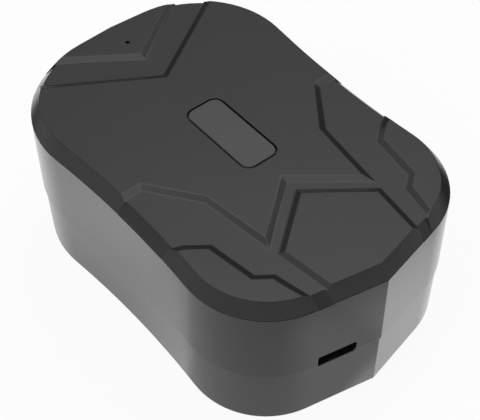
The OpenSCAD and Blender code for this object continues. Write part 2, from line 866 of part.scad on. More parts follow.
module satellite_antenna() {
    electrode = 0.7 * patch_side;
    electrode_thickness = patch_thickness / 20;
    color([0.85, 0.8, 0.68]) {
        block([patch_side, patch_side, patch_thickness - electrode_thickness], [0, patch_y],
            inner_top - patch_thickness);
        block([electrode, electrode, 2 * electrode_thickness], [0, patch_y],
            inner_top - 2 * electrode_thickness);
    }
}

module cellular_antenna() {
    color(copper_colour)
        intersection() {
            ring_wall(wall, wall + flex_thickness, flex_bottom, flex_bottom + flex_height);
            translate([-flex_width / 2, 0, 0]) cube([flex_width, half_length, body_height]);
        }
}

module antenna_sockets() {
    color(metal_colour)
        for (place = [patch_socket, flex_socket])
            post(socket_radius, place, board_top, board_top + socket_height);
}

module antenna_leads() {
    down = [0, 0, -1];
    socket_top = board_top + socket_height;
    flex_y = half_length + flex_socket[0] * tan(far_facet_slope)
        - (wall + flex_thickness) / cos(far_facet_slope) - coax_radius / 2;
    color(rubber_colour) {
        tube(lead_path([patch_socket[0], patch_y, inner_top - patch_thickness], down,
            [patch_socket[0], patch_socket[1], socket_top], -down), coax_radius, lead_sides);
        tube(lead_path([flex_socket[0], flex_y, flex_bottom + 2 * coax_radius], [0, -1, 0],
            [flex_socket[0], flex_socket[1], socket_top], -down, lead_bow / 2), coax_radius,
            lead_sides);
    }
}

module microphone() {
    color(metal_colour)
        post(capsule_radius, [0, sound_y], inner_top - boot_height,
            inner_top - boot_height + capsule_height);
}

module microphone_boot() {
    color(rubber_colour)
        difference() {
            post(boot_radius - screw_gap, [0, sound_y], inner_top - boot_height, inner_top);
            post(capsule_radius, [0, sound_y], inner_top - boot_height - overrun,
                inner_top - boot_height + capsule_height);
            post(sound_radius, [0, sound_y], inner_top - boot_height, inner_top + overrun);
        }
}

module microphone_leads() {
    color(copper_colour)
        for (side = [-1, 1])
            tube(lead_path(
                [side * thread_radius * 2, sound_y, inner_top - boot_height], [0, 0, -1],
                [mic_pad[0] + side * thread_radius * 2, mic_pad[1], board_top], [0, 0, 1]),
                thread_radius, lead_sides);
}

module battery_cell(bottom) {
    translate([0, battery_y, bottom])
        linear_extrude(cell_thickness)
            rounded_rect(2 * battery_half_width, battery_length, cell_corner);
}

module battery_cell_lower() {
    color([0.62, 0.64, 0.67]) battery_cell(battery_bottom);
}

module battery_cell_upper() {
    color([0.66, 0.68, 0.71]) battery_cell(battery_bottom + cell_thickness);
}

module protection_board() {
    color(board_colour)
        block([battery_half_width, protection_thickness, cell_thickness],
            [0, battery_near_y - protection_thickness / 2], battery_bottom + cell_thickness / 2);
}

module battery_tape() {
    inset = 2 * cell_corner;
    color([0.2, 0.2, 0.2])
        block([2 * (battery_half_width - inset), battery_length - 2 * inset, tape_thickness],
            [0, battery_y], battery_top);
}

module battery_connector() {
    color([0.93, 0.92, 0.88]) block(connector_size, connector_place, board_top);
}

module battery_leads() {
    for (side = [-1, 1])
        color(side > 0 ? [0.75, 0.1, 0.1] : [0.1, 0.1, 0.1])
            tube(lead_path(
                [connector_place[0] + side * lead_pitch / 2, battery_near_y - protection_thickness,
                    battery_bottom + cell_thickness], [0, -1, 0],
                [connector_place[0] + side * lead_pitch / 2, connector_place[1],
                    board_top + connector_size[2]], [0, 0, 1]),
                lead_radius, lead_sides);
}

module magnet(place) {
    color(metal_colour) post(magnet_radius, place, magnet_skin, magnet_top);
}

module magnet_retainer() {
    color([0.35, 0.35, 0.36])
        difference() {
            translate([0, 0, magnet_top])
                linear_extrude(retainer_thickness)
                    intersection() {
                        polygon(outline(wall + fit_gap));
                        square([body_length, 2 * retainer_half_length], center = true);
                    }
            for (place = post_places)
                post(post_radius + screw_gap, place, magnet_top - overrun,
                    retainer_top + overrun);
        }
}

upper_shell();
lower_shell();
badge_plate();
seal_ring();
shell_screws();
service_cover();
power_button();
power_switch();
main_board();
board_screws();
charge_port();
sim_holder();
sim_card();
status_lights();
cellular_module();
satellite_receiver();
satellite_antenna();
cellular_antenna();
antenna_sockets();
antenna_leads();
microphone();
microphone_boot();
microphone_leads();
battery_cell_lower();
battery_cell_upper();
protection_board();
battery_tape();
battery_connector();
battery_leads();
magnet_retainer();
magnet(magnet_places[0]);  // magnet_centre
magnet(magnet_places[1]);  // magnet_near_left
magnet(magnet_places[2]);  // magnet_near_right
magnet(magnet_places[3]);  // magnet_far_left
magnet(magnet_places[4]);  // magnet_far_right
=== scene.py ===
"""Looks, studio and camera for a magnetic vehicle tracker.

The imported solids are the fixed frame. This script dresses each of them, models the
small pieces that sit on them, and sets up the studio and the camera. The frame is that
of the solids: origin at the centre of the underside, +Z up and -Y towards the charging
port. Lengths are in millimetres for the small pieces and their places, and in metres
in the finishes, the roundings of mouldings, the studio and the camera.
"""

import logging
import math
from collections.abc import Iterator
from contextlib import contextmanager
from dataclasses import dataclass
from enum import Enum
from functools import cache

import bpy
from mathutils import Euler, Matrix, Vector


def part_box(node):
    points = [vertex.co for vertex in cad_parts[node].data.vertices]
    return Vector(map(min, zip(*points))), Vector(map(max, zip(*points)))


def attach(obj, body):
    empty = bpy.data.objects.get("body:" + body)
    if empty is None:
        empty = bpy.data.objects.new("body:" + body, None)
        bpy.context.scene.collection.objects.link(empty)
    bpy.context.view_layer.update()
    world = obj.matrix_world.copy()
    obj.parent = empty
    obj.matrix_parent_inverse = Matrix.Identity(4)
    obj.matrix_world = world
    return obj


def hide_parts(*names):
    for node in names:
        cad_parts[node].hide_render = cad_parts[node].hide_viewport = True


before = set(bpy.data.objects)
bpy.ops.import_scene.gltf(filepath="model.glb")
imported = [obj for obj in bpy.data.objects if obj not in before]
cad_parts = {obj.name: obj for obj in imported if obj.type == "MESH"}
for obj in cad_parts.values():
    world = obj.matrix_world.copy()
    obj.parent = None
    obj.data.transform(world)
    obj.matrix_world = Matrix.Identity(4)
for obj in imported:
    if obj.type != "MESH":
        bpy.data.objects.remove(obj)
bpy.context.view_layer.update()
MM = 0.001
# Nearly all of a cloudy pattern's values lie in this span
CLOUD = (0.3, 0.7)
FULL = (0.0, 1.0)
# The least turns between two faces that are an edge, on curved and on plain solids
SOFT_TURN = 24.0
SHARP_TURN = 50.0
log = logging.getLogger("tracker")

Colour = tuple[float, float, float]
Pair = tuple[float, float]
Point = tuple[float, float, float]
Piece = bpy.types.Object
Socket = bpy.types.NodeSocket
Feeds = dict[str | int, object]
UP: Point = (0, 0, 1)


class Body(Enum):
    """The moving bodies of the tracker."""

    HOUSING = "housing"
    COVER = "cover"
    BUTTON = "button"


class Streak(Enum):
    """Direction in which a metal's drawing or brushing marks run."""

    NONE = (1.0, 1.0, 1.0)
    ALONG_X = (0.06, 1.0, 1.0)
    ALONG_Y = (1.0, 0.06, 1.0)


def hexed(code: str) -> Colour:
    """Turns a written screen colour, six hexadecimal digits, into linear light."""
    parts = [int(code[i : i + 2], 16) / 255 for i in (0, 2, 4)]
    return tuple(c / 12.92 if c <= 0.04045 else ((c + 0.055) / 1.055) ** 2.4 for c in parts)


def shaded(colour: Colour, share: float) -> Colour:
    """Gives a colour at a share of its brightness."""
    return tuple(c * share for c in colour)


class Nodes:
    """A node tree, laid from left to right."""

    def __init__(self, tree: bpy.types.NodeTree) -> None:
        """Takes the tree that the nodes go in."""
        self.tree = tree

    def feed(self, node: bpy.types.Node, feeds: Feeds) -> None:
        """Feeds a node's sockets.

        Args:
            node: The node.
            feeds: What each socket is linked or set to, by its name or number.
        """
        for name, value in feeds.items():
            if isinstance(value, Socket):
                self.tree.links.new(value, node.inputs[name])
            else:
                node.inputs[name].default_value = value

    def add(
        self, kind: str, output: str | int, feeds: Feeds | None = None, **settings: object
    ) -> Socket:
        """Adds a node.

        Args:
            kind: The node's type.
            output: The name or number of the output that is used.
            feeds: What its sockets are fed with.
            settings: Its properties.

        Returns:
            That output.
        """
        node = self.tree.nodes.new(kind)
        for name, value in settings.items():
            setattr(node, name, value)
        self.feed(node, feeds or {})
        return node.outputs[output]

    def ranged(self, value: Socket, old: Pair, new: Pair, slope: str = "LINEAR") -> Socket:
        """Maps values from one span to another."""
        ends = dict(zip(("Value", "From Min", "From Max", "To Min", "To Max"), (value, *old, *new)))
        return self.add("ShaderNodeMapRange", "Result", ends, interpolation_type=slope)

    def combined(self, operation: str, first: object, second: object) -> Socket:
        """Reckons with two values, in the way that a Math node names."""
        return self.add("ShaderNodeMath", 0, {0: first, 1: second}, operation=operation)

    def along(self, way: Socket, axis: Point) -> Socket:
        """Measures how far a vector reaches along an axis."""
        return self.add("ShaderNodeVectorMath", "Value", {0: way, 1: axis}, operation="DOT_PRODUCT")

    def blended(self, share: Socket, first: Socket, second: Socket) -> Socket:
        """Mixes two shaders, with a share of the second."""
        return self.add("ShaderNodeMixShader", 0, {0: share, 1: first, 2: second})

    def ray(self, kind: str) -> Socket:
        """Tells whether the light's path is a ray of one kind."""
        return self.add("ShaderNodeLightPath", f"Is {kind} Ray")


class Coating(Nodes):
    """The nodes of one material."""

    def __init__(self, name: str) -> None:
        """Starts a material with a bare shader.

        Args:
            name: The material's name.
        """
        self.material = bpy.data.materials.new(name)
        self.material.use_nodes = True
        super().__init__(self.material.node_tree)
        self.shader = self.tree.nodes["Principled BSDF"]
        self.place = self.add("ShaderNodeTexCoord", "Object")

    def sized(self, scale: Point) -> Socket:
        """Scales the surface's place, so that a metre has that many units."""
        return self.add("ShaderNodeMapping", "Vector", {"Vector": self.place, "Scale": scale})

    def noise(self, size: float, detail: float = 2.0, streak: Streak = Streak.NONE) -> Socket:
        """Adds a pattern of clouds of one size, about 0.5 on average."""
        feeds = {"Vector": self.sized(tuple(s / size for s in streak.value)), "Scale": 1.0}
        return self.add("ShaderNodeTexNoise", "Fac", {**feeds, "Detail": detail})

    def cells(self, size: float, distance: str = "EUCLIDEAN") -> Socket:
        """Adds a pattern of cells of one size, which gives the distance in each."""
        feeds = {"Vector": self.sized((1 / size,) * 3), "Scale": 1.0}
        return self.add("ShaderNodeTexVoronoi", "Distance", feeds, distance=distance)

    def mixed(self, share: Socket, first: object, second: object) -> Socket:
        """Mixes two colours, given as such or as sockets, with a share of the second."""
        pair = [c if isinstance(c, Socket) else (*c, 1.0) for c in (first, second)]
        return self.add("ShaderNodeMix", 2, {0: share, 6: pair[0], 7: pair[1]}, data_type="RGBA")

    def relief(self, height: Socket, depth: float, **below: Socket) -> Socket:
        """Turns a pattern into fine relief, on a coarser one that is given as Normal."""
        feeds = {"Height": height, "Strength": 1.0, "Distance": depth, **below}
        return self.add("ShaderNodeBump", "Normal", feeds)

    def set(self, **values: object) -> None:
        """Feeds the shader's own sockets, each under its name with underscores."""
        self.feed(self.shader, {name.replace("_", " "): value for name, value in values.items()})


@dataclass(frozen=True)
class Finish:
    """A finish that pieces are dressed in.

    Attributes:
        name: The material's name.
        colour: The plain colour.
    """

    name: str
    colour: Colour

    def lay(self, coat: Coating) -> None:
        """Lays the finish into a material."""
        raise NotImplementedError

    @cache
    def material(self) -> bpy.types.Material:
        """Builds the material, once for all the pieces in it.

        Returns:
            The material.
        """
        coat = Coating(self.name)
        self.lay(coat)
        return coat.material

    def dress(self, piece: Piece) -> None:
        """Puts the finish all over a piece."""
        piece.data.materials.clear()
        piece.data.materials.append(self.material())


@dataclass(frozen=True)
class MouldedPlastic(Finish):
    """Injection-moulded plastic with a spark-eroded grain.

    Attributes:
        flecked: The colour of the finest flecks.
        roughness: The mean roughness.
        grain: The width of one grain.
        depth: The depth of the grain.
        gloss: The strength of the reflection, 0.5 for plain plastic.
        sheen: The share of the polished skin that the mould leaves.
        sheen_roughness: The roughness of that skin.
    """

    flecked: Colour
    roughness: float = 0.5
    grain: float = 0.00022
    depth: float = 0.000012
    gloss: float = 0.5
    sheen: float = 0.0
    sheen_roughness: float = 0.2

    def lay(self, coat: Coating) -> None:
        """Lays flow marks, flecks and grain.

        Args:
            coat: The material.
        """
        grain = coat.noise(self.grain, detail=3.0)
        flow = coat.ranged(coat.noise(size=0.018), (0.35, 0.65), FULL)
        plain = coat.mixed(flow, shaded(self.colour, 0.94), shaded(self.colour, 1.06))
        flecks = coat.ranged(coat.cells(self.grain * 3.2), (0.0, 0.22), (1.0, 0.0))
        rough = (self.roughness - 0.06, self.roughness + 0.06)
        coat.set(
            Base_Color=coat.mixed(flecks, plain, self.flecked),
            Roughness=coat.ranged(grain, CLOUD, rough),
            Normal=coat.relief(grain, self.depth),
            Specular_IOR_Level=self.gloss,
            Coat_Weight=self.sheen,
            Coat_Roughness=self.sheen_roughness,
        )


@dataclass(frozen=True)
class SoftRubber(Finish):
    """Moulded rubber, matt and a little dusty.

    Attributes:
        roughness: The mean roughness.
    """

    roughness: float = 0.72

    def lay(self, coat: Coating) -> None:
        """Lays dust over a fine grain.

        Args:
            coat: The material.
        """
        dust = coat.ranged(coat.noise(size=0.006, detail=4.0), (0.45, 0.75), (0.0, 0.5))
        dusty = tuple(c * 1.5 + 0.004 for c in self.colour)
        grain = coat.noise(size=0.00012)
        rough = (self.roughness - 0.05, self.roughness + 0.05)
        coat.set(
            Base_Color=coat.mixed(dust, self.colour, dusty),
            Roughness=coat.ranged(grain, CLOUD, rough),
            Normal=coat.relief(grain, depth=0.000006),
            Sheen_Weight=0.08,
            Sheen_Roughness=0.4,
        )


@dataclass(frozen=True)
class WorkedMetal(Finish):
    """Metal with rolling, plating or brushing marks.

    Attributes:
        tint: The colour of its stains.
        roughness: The mean roughness.
        streak: The way the marks run.
        mark: The width of one mark.
    """

    tint: Colour
    roughness: float = 0.3
    streak: Streak = Streak.NONE
    mark: float = 0.0001

    def lay(self, coat: Coating) -> None:
        """Lays stains and marks.

        Args:
            coat: The material.
        """
        marks = coat.noise(self.mark, 3.0, self.streak)
        stains = coat.ranged(coat.noise(size=0.003, detail=3.0), (0.4, 0.7), FULL)
        rough = (self.roughness - 0.08, self.roughness + 0.1)
        coat.set(
            Base_Color=coat.mixed(stains, self.colour, self.tint),
            Roughness=coat.ranged(marks, CLOUD, rough),
            Normal=coat.relief(marks, depth=0.000004),
            Metallic=1.0,
        )


@dataclass(frozen=True)
class CellFoil(Finish):
    """The laminated foil of a pouch cell, softly creased."""

    def lay(self, coat: Coating) -> None:
        """Lays creases and a fine grain.

        Args:
            coat: The material.
        """
        creases = coat.noise(size=0.004, detail=5.0)
        tinted = coat.ranged(creases, (0.35, 0.65), FULL)
        grain = coat.noise(size=0.0003)
        creased = coat.relief(creases, depth=0.00007)
        coat.set(
            Base_Color=coat.mixed(tinted, self.colour, shaded(self.colour, 0.92)),
            Roughness=coat.ranged(grain, CLOUD, (0.3, 0.42)),
            Normal=coat.relief(grain, depth=0.000003, Normal=creased),
            Metallic=0.85,
        )


@dataclass(frozen=True)
class SolderMask(Finish):
    """The lacquer of a circuit board over its copper tracks.

    Attributes:
        track: The lacquer over copper.
    """

    track: Colour

    def lay(self, coat: Coating) -> None:
        """Lays poured planes, tracks and vias under the lacquer.

        Args:
            coat: The material.
        """
        bands = coat.combined("PINGPONG", coat.cells(1 / 260, "MANHATTAN"), 0.09)
        lines = coat.ranged(bands, (0.055, 0.07), FULL)
        routed = coat.ranged(coat.noise(size=0.006), (0.48, 0.56), FULL)
        copper = coat.combined("MULTIPLY", lines, routed)
        poured = coat.ranged(coat.noise(size=0.014, detail=1.0), (0.5, 0.53), (0.0, 0.35))
        vias = coat.ranged(coat.cells(size=0.0016), (0.11, 0.14), (1.0, 0.0))
        tracks = coat.mixed(copper, coat.mixed(poured, self.colour, self.track), self.track)
        coat.set(
            Base_Color=coat.mixed(vias, tracks, shaded(self.track, 1.5)),
            Normal=coat.relief(copper, depth=0.00002),
            Roughness=coat.ranged(coat.noise(size=0.0004), CLOUD, (0.22, 0.34)),
            Coat_Weight=0.3,
            Coat_Roughness=0.15,
        )


@dataclass(frozen=True)
class FiredCeramic(Finish):
    """Pressed and fired ceramic, finely speckled.

    Attributes:
        speckle: The colour of the speckles.
    """

    speckle: Colour

    def lay(self, coat: Coating) -> None:
        """Lays speckles and a fine grain.

        Args:
            coat: The material.
        """
        speckles = coat.ranged(coat.cells(size=0.0005), (0.0, 0.3), (1.0, 0.0))
        grain = coat.noise(size=0.0002, detail=3.0)
        coat.set(
            Base_Color=coat.mixed(speckles, self.colour, self.speckle),
            Roughness=coat.ranged(grain, CLOUD, (0.45, 0.6)),
            Normal=coat.relief(grain, depth=0.000008),
        )


@dataclass(frozen=True)
class ClearLens(Finish):
    """Clear moulded resin over a small light."""

    def lay(self, coat: Coating) -> None:
        """Lays faint clouds in clear resin.

        Args:
            coat: The material.
        """
        clouds = coat.noise(size=0.0006)
        coat.set(
            Base_Color=coat.mixed(clouds, self.colour, shaded(self.colour, 0.85)),
            Roughness=coat.ranged(clouds, CLOUD, (0.08, 0.2)),
            Transmission_Weight=0.75,
            IOR=1.5,
        )


UPPER_CASE = MouldedPlastic(
    "upper_case_plastic", hexed("161617"), hexed("1b1b1c"), 0.24, depth=0.0000015, sheen=1.0
)
LOWER_CASE = MouldedPlastic(
    "lower_case_plastic", hexed("1c1c1d"), hexed("212122"), 0.26,
    depth=0.0000015, gloss=0.65, sheen=1.0,
)
BADGE = MouldedPlastic(
    "badge_satin", hexed("4c4c4d"), hexed("5a5a5b"), 0.36, grain=0.00035, depth=0.000003
)
PART_PLASTIC = MouldedPlastic("part_plastic", hexed("262628"), hexed("303032"), 0.4)
WHITE_PLASTIC = MouldedPlastic("connector_plastic", hexed("e2dfd4"), hexed("d6d2c4"), 0.42)
BUTTON_PLASTIC = MouldedPlastic(
    "button_plastic", hexed("b4261c"), hexed("a82018"), 0.3, depth=0.000004
)
CARD_PLASTIC = MouldedPlastic(
    "card_plastic", hexed("ebe8de"), hexed("e0dccf"), 0.32, depth=0.000003
)
FOAM = SoftRubber("foam_tape", hexed("2a2a2a"), 0.9)
SEAL_RUBBER = SoftRubber("seal_rubber", hexed("202022"))
COVER_RUBBER = SoftRubber("cover_rubber", hexed("2c2c2f"), 0.62)
LEAD_BLACK = SoftRubber("lead_insulation", hexed("1c1c1e"), 0.5)
LEAD_RED = SoftRubber("battery_lead_insulation", hexed("a01814"), 0.45)
ZINC = WorkedMetal("zinc_plate", hexed("b9bcc0"), hexed("a3a5a6"), 0.3)
TIN = WorkedMetal("tin_plate", hexed("c4c6c8"), hexed("b2b4b6"), 0.28, Streak.ALONG_X)
# The port's steel is painted dark grey, as painted shade for the deep slot round it
SHADE_DARKENED_PORT_STEEL = WorkedMetal(
    "port_steel", hexed("3a3b3e"), hexed("303134"), 0.4, Streak.ALONG_Y, 0.00008
)
NICKEL = WorkedMetal("nickel_plate", hexed("cfcbc2"), hexed("bdb8ad"), 0.16, mark=0.0005)
COPPER = WorkedMetal("copper_foil", hexed("c77b4c"), hexed("b0683c"), 0.3, Streak.ALONG_X)
GOLD = WorkedMetal("gilt_contact", hexed("d8b25a"), hexed("c89f48"), 0.22)
FOIL = CellFoil("cell_foil", hexed("b4b8bd"))
BOARD = SolderMask("solder_mask", hexed("16552e"), hexed("2d7f48"))
CERAMIC = FiredCeramic("fired_ceramic", hexed("cdbd9c"), hexed("b5a484"))
CAPACITOR = FiredCeramic("capacitor_ceramic", hexed("a98b62"), hexed("96784f"))
LENS = ClearLens("light_resin", hexed("e6f4e4"))


def node(name: str) -> Piece:
    """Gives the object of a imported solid."""
    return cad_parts[name]


def box_mm(name: str) -> tuple[list[float], list[float]]:
    """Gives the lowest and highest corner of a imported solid."""
    low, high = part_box(name)
    return [length / MM for length in low], [length / MM for length in high]


def only(piece: Piece) -> None:
    """Selects one piece alone and makes it the active one."""
    bpy.ops.object.select_all(action="DESELECT")
    piece.select_set(True)
    bpy.context.view_layer.objects.active = piece


@contextmanager
def opened(piece: Piece, way: Point | None = None) -> Iterator[None]:
    """Opens a piece in edit mode with its faces selected, and closes it after.

    Args:
        piece: The piece.
        way: The way that the selected faces look, or None where all are selected.
    """
    only(piece)
    bpy.ops.object.mode_set(mode="EDIT")
    bpy.ops.mesh.select_all(action="SELECT")
    if way:
        bpy.ops.mesh.select_mode(type="FACE")
        bpy.ops.mesh.select_all(action="DESELECT")
        bpy.ops.object.mode_set(mode="OBJECT")
        for face in piece.data.polygons:
            face.select = face.normal.dot(Vector(way)) > 0.99
        bpy.ops.object.mode_set(mode="EDIT")
    yield
    bpy.ops.object.mode_set(mode="OBJECT")


def modified(piece: Piece, kind: str, **settings: object) -> None:
    """Puts a modifier on a piece and applies it.

    Args:
        piece: The piece.
        kind: The modifier's type.
        settings: Its properties.
    """
    only(piece)
    modifier = piece.modifiers.new(kind.lower(), kind)
    for name, value in settings.items():
        setattr(modifier, name, value)
    bpy.ops.object.modifier_apply(modifier=modifier.name)


def eased(piece: Piece, width: float, turn: float, **settings: object) -> None:
    """Rounds a piece's edges of at least that turn, to a width in metres."""
    rounding = {"limit_method": "ANGLE", "angle_limit": math.radians(turn), "segments": 2}
    modified(piece, "BEVEL", **rounding, width=width, **settings)


def twin(mesh: bpy.types.Mesh, name: str) -> Piece:
    """Puts a copy of a mesh into the scene as a piece.

    Args:
        mesh: The mesh.
        name: The piece's name.

    Returns:
        The piece.
    """
    piece = bpy.data.objects.new(name, mesh.copy())
    bpy.context.scene.collection.objects.link(piece)
    return piece


def joined(pieces: list[Piece], name: str) -> Piece:
    """Joins pieces into one.

    Args:
        pieces: The pieces, of which the first takes in the others.
        name: The name of the whole.

    Returns:
        The whole.
    """
    only(pieces[0])
    for piece in pieces:
        piece.select_set(True)
    bpy.ops.object.join()
    pieces[0].name = name
    return pieces[0]


def repeated(piece: Piece, name: str, places: list[Matrix]) -> Piece:
    """Copies a piece to each of several places, and joins the copies into one.

    Args:
        piece: The piece, which is used up.
        name: The name of what the copies make.
        places: The move of each copy.

    Returns:
        The joined copies.
    """
    copies = []
    for place in places:
        copies.append(twin(piece.data, name))
        copies[-1].matrix_world = place
    bpy.data.objects.remove(piece)
    return joined(copies, name)


def moved(x: float, y: float, z: float = 0.0, turn: float = 0.0) -> Matrix:
    """Gives a move by millimetres after a turn in degrees about the upright axis."""
    turning = Matrix.Rotation(math.radians(turn), 4, "Z")
    return Matrix.Translation((x * MM, y * MM, z * MM)) @ turning


def spaced(count: int, pitch: float) -> list[float]:
    """Gives the middles of a row of equal steps, which is centred on nought."""
    return [(step - (count - 1) / 2) * pitch for step in range(count)]


def bar(name: str, low: Point, high: Point, edge: float, sides: int = 2) -> Piece:
    """Starts a bar with eased edges.

    Args:
        name: The piece's name.
        low: Its lowest corner.
        high: Its highest corner.
        edge: The width of the easing.
        sides: How many faces the easing has.

    Returns:
        The bar.
    """
    bpy.ops.object.select_all(action="DESELECT")
    middle = [(a + b) / 2 * MM for a, b in zip(low, high)]
    bpy.ops.mesh.primitive_cube_add(size=1, location=middle)
    piece = bpy.context.object
    piece.name = name
    piece.scale = [(b - a) * MM for a, b in zip(low, high)]
    bpy.ops.object.transform_apply(location=True, rotation=True, scale=True)
    with opened(piece):
        bpy.ops.mesh.bevel(offset=edge * MM, segments=sides, affect="EDGES")
    return piece


def barrel(
    name: str, foot: Point, radius: float, length: float, edge: float, sides: int = 28
) -> Piece:
    """Starts an upright barrel with eased rims.

    Args:
        name: The piece's name.
        foot: The middle of its foot.
        radius: Its radius.
        length: Its length.
        edge: The width of the easing.
        sides: How many sides it has.

    Returns:
        The barrel.
    """
    bpy.ops.object.select_all(action="DESELECT")
    middle = (foot[0] * MM, foot[1] * MM, (foot[2] + length / 2) * MM)
    bpy.ops.mesh.primitive_cylinder_add(
        vertices=sides, radius=radius * MM, depth=length * MM, location=middle
    )
    piece = bpy.context.object
    piece.name = name
    bpy.ops.object.transform_apply(location=True, rotation=True, scale=True)
    eased(piece, edge * MM, turn=60)
    return piece


def stepped(piece: Piece, way: Point, margin: float, rise: float) -> None:
    """Raises or sinks the middle of a face.

    Args:
        piece: The piece.
        way: The way the face looks.
        margin: The width that stays round it.
        rise: How far it rises, or sinks where it is less than nought.
    """
    with opened(piece, way):
        bpy.ops.mesh.inset(thickness=margin * MM, depth=0)
        bpy.ops.mesh.inset(thickness=abs(rise) * 0.6 * MM, depth=rise * MM)


def settled(piece: Piece, finish: Finish, body: Body = Body.HOUSING) -> None:
    """Puts a piece's place in its mesh, dresses it and lets it ride.

    Args:
        piece: The piece.
        finish: Its finish.
        body: The body that it rides on.
    """
    only(piece)
    bpy.ops.object.transform_apply(location=True, rotation=True, scale=True)
    bpy.ops.object.shade_smooth_by_angle(angle=math.radians(40))
    finish.dress(piece)
    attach(piece, body.value)
    log.info("modelled %s", piece.name)


@dataclass(frozen=True)
class Moulding:
    """A piece modelled on its solid, with eased edges and smooth curves.

    Attributes:
        solid: The solid's name.
        slot: The slot of its finish; not used.
        finish: Its finish.
        edge: The width of the rounding.
        body: The body that it rides on.
        turn: The least turn between two faces that is an edge, in degrees.
    """

    solid: str
    slot: str
    finish: Finish
    edge: float
    body: Body = Body.HOUSING
    turn: float = SHARP_TURN

    def build(self) -> None:
        """Models the piece and puts it in the solid's place.

        Loose triangles are joined into whole faces, then the sharp edges are rounded and
        the gentle turns shaded as curves.
        """
        piece = twin(node(self.solid).data, self.solid + "_moulding")
        with opened(piece):
            bpy.ops.mesh.remove_doubles(threshold=0.000004)
            bpy.ops.mesh.dissolve_limited(angle_limit=math.radians(0.4))
        eased(piece, self.edge, self.turn, use_clamp_overlap=False)
        with opened(piece):
            bpy.ops.mesh.remove_doubles(threshold=0.000002)
            bpy.ops.mesh.dissolve_degenerate(threshold=0.000001)
        bpy.ops.object.shade_smooth_by_angle(angle=math.radians(self.turn + 12))
        modified(piece, "WEIGHTED_NORMAL", weight=80, keep_sharp=True)
        self.finish.dress(piece)
        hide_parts(self.solid)
        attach(piece, self.body.value)
        log.info("modelled %s", piece.name)


Mouldings = tuple[Moulding, ...]
Plain = tuple[tuple[str, Finish], ...]


@dataclass
class Assembly:
    """A sub-assembly of the tracker.

    Attributes:
        mouldings: The pieces that are modelled on their solids.
        plain: The solids that get a finish and stay as they are, each with it.
    """

    mouldings: Mouldings = ()
    plain: Plain = ()

    def add_pieces(self) -> None:
        """Models the pieces that have no solid, where there are any."""

    def build(self) -> None:
        """Models and dresses the whole sub-assembly."""
        for moulding in self.mouldings:
            moulding.build()
        self.add_pieces()
        for name, finish in self.plain:
            finish.dress(node(name))
            log.info("dressed %s", name)


@dataclass
class Housing(Assembly):
    """The two moulded shells with what closes and marks them."""

    mouldings: Mouldings = (
        Moulding("upper_shell", "case_upper", UPPER_CASE, 0.00014, turn=SOFT_TURN),
        Moulding("lower_shell", "case_lower", LOWER_CASE, 0.00014, turn=SOFT_TURN),
        Moulding("badge_plate", "badge", BADGE, 0.0002, turn=SOFT_TURN),
        Moulding("shell_screws", "screw_steel", ZINC, 0.00012),
    )
    plain: Plain = (("seal_ring", SEAL_RUBBER),)


@dataclass
class ServiceBay(Assembly):
    """The covered bay with the button and the card.

    Attributes:
        rib: Half the length, the depth and half the height of a grip rib.
        rib_face: Where a rib's crest lies along the housing.
        rib_levels: The heights of the ribs' middles.
        pad: Half the width and length of a contact pad, and its thickness.
    """

    mouldings: Mouldings = (
        Moulding("service_cover", "rubber", COVER_RUBBER, 0.00022, Body.COVER),
        Moulding("sim_holder", "can_steel", TIN, 0.00008),
        Moulding("sim_card", "card", CARD_PLASTIC, 0.00006),
        Moulding("status_lights", "light_lens", LENS, 0.00015),
    )
    plain: Plain = (("power_button", BUTTON_PLASTIC), ("power_switch", PART_PLASTIC))
    rib: Point = (5.5, 1.0, 0.3)
    rib_face: float = 44.86
    rib_levels: tuple[float, ...] = (10.0, 11.2, 12.4)
    pad: Point = (1.1, 0.75, 0.03)

    def grip(self) -> None:
        """Models the ribs that a finger pulls the cover by."""
        x, deep, z = self.rib
        low, high = (-x, self.rib_face - deep, -z), (x, self.rib_face, z)
        places = [moved(0, 0, level) for level in self.rib_levels]
        ribs = repeated(bar("rib", low, high, edge=0.24, sides=3), "cover_grip_ribs", places)
        settled(ribs, COVER_RUBBER, Body.COVER)

    def card_pads(self) -> None:
        """Models the gilt pads of the card."""
        low, high = box_mm("sim_card")
        middle = (low[0] + high[0]) / 2
        x, y, film = self.pad
        pad = bar("pad", (-x, -y, 0), (x, y, film), edge=0.01, sides=1)
        places = [
            moved(middle + column, low[1] + row, high[2])
            for column in (-2.6, 2.6)
            for row in (3.0, 4.9, 6.8, 8.7)
        ]
        settled(repeated(pad, "card_contact_pads", places), GOLD)

    def button_cap(self) -> None:
        """Models the dished cap that a finger tip finds on the button."""
        low, high = box_mm("power_button")
        cap = barrel("power_button_cap", (0, 0, 0), radius=0.95, length=0.12, edge=0.04)
        stepped(cap, UP, margin=0.25, rise=-0.08)
        sunk = 0.02
        place = moved((low[0] + high[0]) / 2, high[1] - sunk, (low[2] + high[2]) / 2)
        cap.matrix_world = place @ Matrix.Rotation(math.radians(-90), 4, "X")
        settled(cap, BUTTON_PLASTIC, Body.BUTTON)

    def add_pieces(self) -> None:
        """Models the cover's grip, the card's pads and the button's cap."""
        self.grip()
        self.card_pads()
        self.button_cap()


